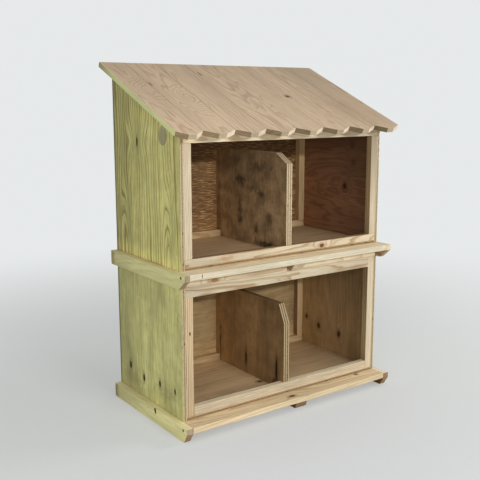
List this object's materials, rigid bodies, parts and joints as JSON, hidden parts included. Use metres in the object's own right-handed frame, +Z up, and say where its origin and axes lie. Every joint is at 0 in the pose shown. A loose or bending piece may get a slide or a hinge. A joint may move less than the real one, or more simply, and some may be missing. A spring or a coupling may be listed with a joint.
{
  "type": "chicken nesting box",
  "caption": "Stacked open-fronted wooden nesting box for hens: plywood boxes with pine front frames on skid bases, under a sloping plank roof.",
  "frame": {"origin": "on the ground, under the middle of the whole object's bounding box", "axes": "+Z up, +X to the right and +Y to the back as a person faces the open nests"},
  "size_m": [0.709, 0.4032, 0.9152],
  "materials": {
    "treated_ply": "matt, green-tinted preservative",
    "plywood": "matt, bare",
    "treated_pine": "matt, green-tinted preservative",
    "deck_pine": "matt, bare",
    "frame_pine": "matt, bare",
    "roof_pine": "matt, weathered",
    "steel": "zinc plated, dull"
  },
  "bodies": {
    "lower_unit": {"lower_back": "plywood", "lower_back_batten": "frame_pine", "lower_back_top_batten": "frame_pine", "lower_bottom_rail": "frame_pine", "lower_corner_batten_left": "frame_pine", "lower_corner_batten_right": "frame_pine", "lower_deck_board_1": "deck_pine", "lower_deck_board_2": "deck_pine", "lower_deck_board_3": "deck_pine", "lower_divider": "plywood", "lower_floor": "plywood", "lower_runner_centre": "treated_pine", "lower_runner_left": "treated_pine", "lower_runner_nails": "steel", "lower_runner_right": "treated_pine", "lower_runner_screws": "steel", "lower_side_left": "treated_ply", "lower_side_right": "treated_ply", "lower_stile_left": "frame_pine", "lower_stile_right": "frame_pine", "lower_top_rail": "frame_pine"},
    "upper_unit": {"roof_board_1": "roof_pine", "roof_board_2": "roof_pine", "roof_board_3": "roof_pine", "roof_board_4": "roof_pine", "roof_board_5": "roof_pine", "roof_board_6": "roof_pine", "roof_board_7": "roof_pine", "roof_board_8": "roof_pine", "roof_nails": "steel", "upper_back": "plywood", "upper_back_batten": "frame_pine", "upper_back_blocking": "frame_pine", "upper_bottom_rail": "frame_pine", "upper_corner_batten_left": "frame_pine", "upper_corner_batten_right": "frame_pine", "upper_deck_board_1": "deck_pine", "upper_deck_board_2": "deck_pine", "upper_deck_board_3": "deck_pine", "upper_divider": "plywood", "upper_floor": "plywood", "upper_front_blocking": "frame_pine", "upper_roof_back_rail": "frame_pine", "upper_runner_centre": "treated_pine", "upper_runner_left": "treated_pine", "upper_runner_nails": "steel", "upper_runner_right": "treated_pine", "upper_runner_screws": "steel", "upper_side_left": "treated_ply", "upper_side_right": "treated_ply", "upper_stile_left": "frame_pine", "upper_stile_right": "frame_pine", "upper_top_rail": "frame_pine"}
  },
  "joints": [
    {"name": "upper_unit_lift", "type": "slide", "parent": "lower_unit", "child": "upper_unit", "axis": [0, 0, 1], "range_m": [0, 0.15]}
  ]
}
